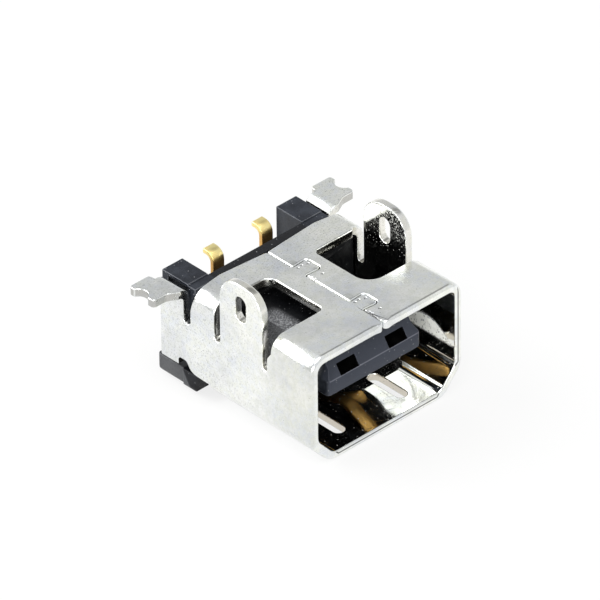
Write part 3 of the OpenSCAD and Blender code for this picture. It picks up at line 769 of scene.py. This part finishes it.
def make_shell():
    mesh, bm = merged_mesh("shell", "plated_shell")
    mark_sheet_faces(bm)
    for side in (-1, 1):
        for reach in SEAM_EASE:
            cut_across(bm, Vector((SEAM_X + side * reach, 0, 0)) * MM, (1, 0, 0))
    weigh_edges(bm, SHEET_EDGE_ANGLE, shell_rounding)
    return finished_piece(mesh, bm, "shell", [PLATE, PLATE_EDGE], SHELL_ROUNDING, 3)


def housing_rounding(a, b, edge):
    """The same on every edge but those of the foot's underside, which is round already."""
    return 0.0 if min(a.z, b.z) < ROUND_FOOT_Z else 1.0


def in_contact_opening(middle):
    """Whether a face lies in one of the two openings through which the contacts show."""
    spans = ((abs(middle.x), OPENING_HALF_X), (middle.y, OPENING_Y), (middle.z, OPENING_Z))
    return all(low < value < high for value, (low, high) in spans)


def make_housing():
    mesh, bm = merged_mesh("housing", "black_moulding")
    materials = [MOULDING, MOULDING_HIGHLIGHT_EDGE, MOULDING_SHADED_DEEP]
    for face in bm.faces:
        if in_contact_opening(face.calc_center_median() / MM):
            face.material_index = materials.index(MOULDING_SHADED_DEEP)
    weigh_edges(bm, MOULDED_EDGE_ANGLE, housing_rounding)
    return finished_piece(mesh, bm, "housing", materials, HOUSING_ROUNDING, 2)


def make_contact(side):
    mesh, bm = merged_mesh(side + "_contact", side + "_gold_contact")
    weigh_edges(bm, MOULDED_EDGE_ANGLE, lambda a, b, edge: 1.0)
    return finished_piece(mesh, bm, side + "_contact", [GOLD], CONTACT_ROUNDING, 2)


make_shell()
make_housing()
make_contact("left")
make_contact("right")


# Studio

TABLE_HALF = 3.0
TABLE_COLOUR = (0.68, 0.68, 0.67, 1)
TABLE_GLOW_SHARE = 0.8
SKY_COLOUR = (0.985, 0.995, 1.0, 1)

# Where the sky is greyer: the way there, how near it begins and ends, and the level far off and near
SKY_DIPS = (((0.557, 0.593, 0.581), (0.80, 0.97), (0.82, 0.66)),
            ((0.557, 0.14, 0.82), (0.92, 0.985), (1.0, 0.4)))

# Soft boxes: name, the way there, size and power
LAMP_DISTANCE = 1.2
LAMPS = (("left_softbox", (-0.45, 0.62, 0.5), (1.1, 1.0), 14),
         ("top_softbox", (-0.2, -0.3, 1.0), (0.8, 0.8), 6),
         ("front_softbox", (-0.8, -0.6, 0.25), (0.5, 0.5), 9))


def make_floor():
    """A matte table, that the camera and the plate's reflections see as nearly white."""
    mesh = bpy.data.meshes.new("table")
    bm = bmesh.new()
    bmesh.ops.create_grid(bm, x_segments=1, y_segments=1, size=TABLE_HALF)
    bm.to_mesh(mesh)
    bm.free()
    table = bpy.data.objects.new("table", mesh)
    bpy.context.scene.collection.objects.link(table)
    material = bpy.data.materials.new("white table")
    material.use_nodes = True
    tree = material.node_tree
    tree.nodes.clear()
    matt = add(tree, "ShaderNodeBsdfDiffuse", Color=TABLE_COLOUR)
    glow = add(tree, "ShaderNodeEmission", Color=(1, 1, 1, 1), Strength=1.0)
    path = tree.nodes.new("ShaderNodeLightPath")
    seen = math_node(tree, "MAXIMUM", path.outputs["Is Camera Ray"], path.outputs["Is Glossy Ray"])
    mixed = tree.nodes.new("ShaderNodeMixShader")
    join(tree, times(tree, seen, TABLE_GLOW_SHARE), mixed.inputs["Fac"])
    join(tree, matt.outputs[0], mixed.inputs[1])
    join(tree, glow.outputs[0], mixed.inputs[2])
    output = tree.nodes.new("ShaderNodeOutputMaterial")
    join(tree, mixed.outputs[0], output.inputs["Surface"])
    mesh.materials.append(material)


def make_lamp(name, toward, size, power):
    """A rectangular soft box that faces the part."""
    data = bpy.data.lights.new(name, "AREA")
    data.shape = "RECTANGLE"
    data.size, data.size_y = size
    data.energy = power
    lamp = bpy.data.objects.new(name, data)
    bpy.context.scene.collection.objects.link(lamp)
    way = Vector(toward).normalized()
    facing = way.to_track_quat("Z", "Y").to_matrix().to_4x4()
    lamp.matrix_world = Matrix.Translation(way * LAMP_DISTANCE) @ facing


def make_room():
    """A pale studio, greyer in two parts of the sky, and plain white behind the part."""
    world = bpy.data.worlds.new("studio")
    bpy.context.scene.world = world
    world.use_nodes = True
    tree = world.node_tree
    tree.nodes.clear()
    way = tree.nodes.new("ShaderNodeTexCoord").outputs["Generated"]
    level = 1.0
    for toward, nearness, levels in SKY_DIPS:
        dot = add(tree, "ShaderNodeVectorMath", operation="DOT_PRODUCT")
        join(tree, way, dot.inputs[0])
        dot.inputs[1].default_value = Vector(toward).normalized()
        level = times(tree, map_range(tree, dot.outputs["Value"], *nearness, *levels), level)
    path = tree.nodes.new("ShaderNodeLightPath")
    level = math_node(tree, "MAXIMUM", level, path.outputs["Is Camera Ray"])
    sky = add(tree, "ShaderNodeBackground", Color=SKY_COLOUR)
    join(tree, level, sky.inputs["Strength"])
    output = tree.nodes.new("ShaderNodeOutputWorld")
    join(tree, sky.outputs[0], output.inputs["Surface"])


def make_camera():
    data = bpy.data.cameras.new("camera")
    right = Vector((math.cos(CAMERA_AZIMUTH), math.sin(CAMERA_AZIMUTH), 0))
    back = Vector((math.sin(CAMERA_AZIMUTH) * math.cos(CAMERA_ELEVATION),
                   -math.cos(CAMERA_AZIMUTH) * math.cos(CAMERA_ELEVATION),
                   math.sin(CAMERA_ELEVATION)))
    up = back.cross(right)
    turn = Matrix.Rotation(CAMERA_ROLL, 3, back)
    axes = Matrix((turn @ right, turn @ up, back)).transposed()
    camera = bpy.data.objects.new("camera", data)
    camera.matrix_world = Matrix.Translation(CAMERA_TARGET + back * CAMERA_DISTANCE) @ axes.to_4x4()
    data.sensor_fit = "HORIZONTAL"
    data.sensor_width = SENSOR_WIDTH
    data.lens = SENSOR_WIDTH * PIXELS_PER_MM * (CAMERA_DISTANCE / MM) / PICTURE_SIDE
    half = PICTURE_SIDE / 2
    data.shift_x = (half - TARGET_PIXEL[0]) / PICTURE_SIDE
    data.shift_y = (TARGET_PIXEL[1] - half) / PICTURE_SIDE
    data.clip_start = CLIP_START
    data.clip_end = CLIP_END
    bpy.context.scene.collection.objects.link(camera)
    bpy.context.scene.camera = camera


make_floor()
make_room()
for lamp_values in LAMPS:
    make_lamp(*lamp_values)
make_camera()
bpy.context.scene.view_settings.view_transform = "Standard"
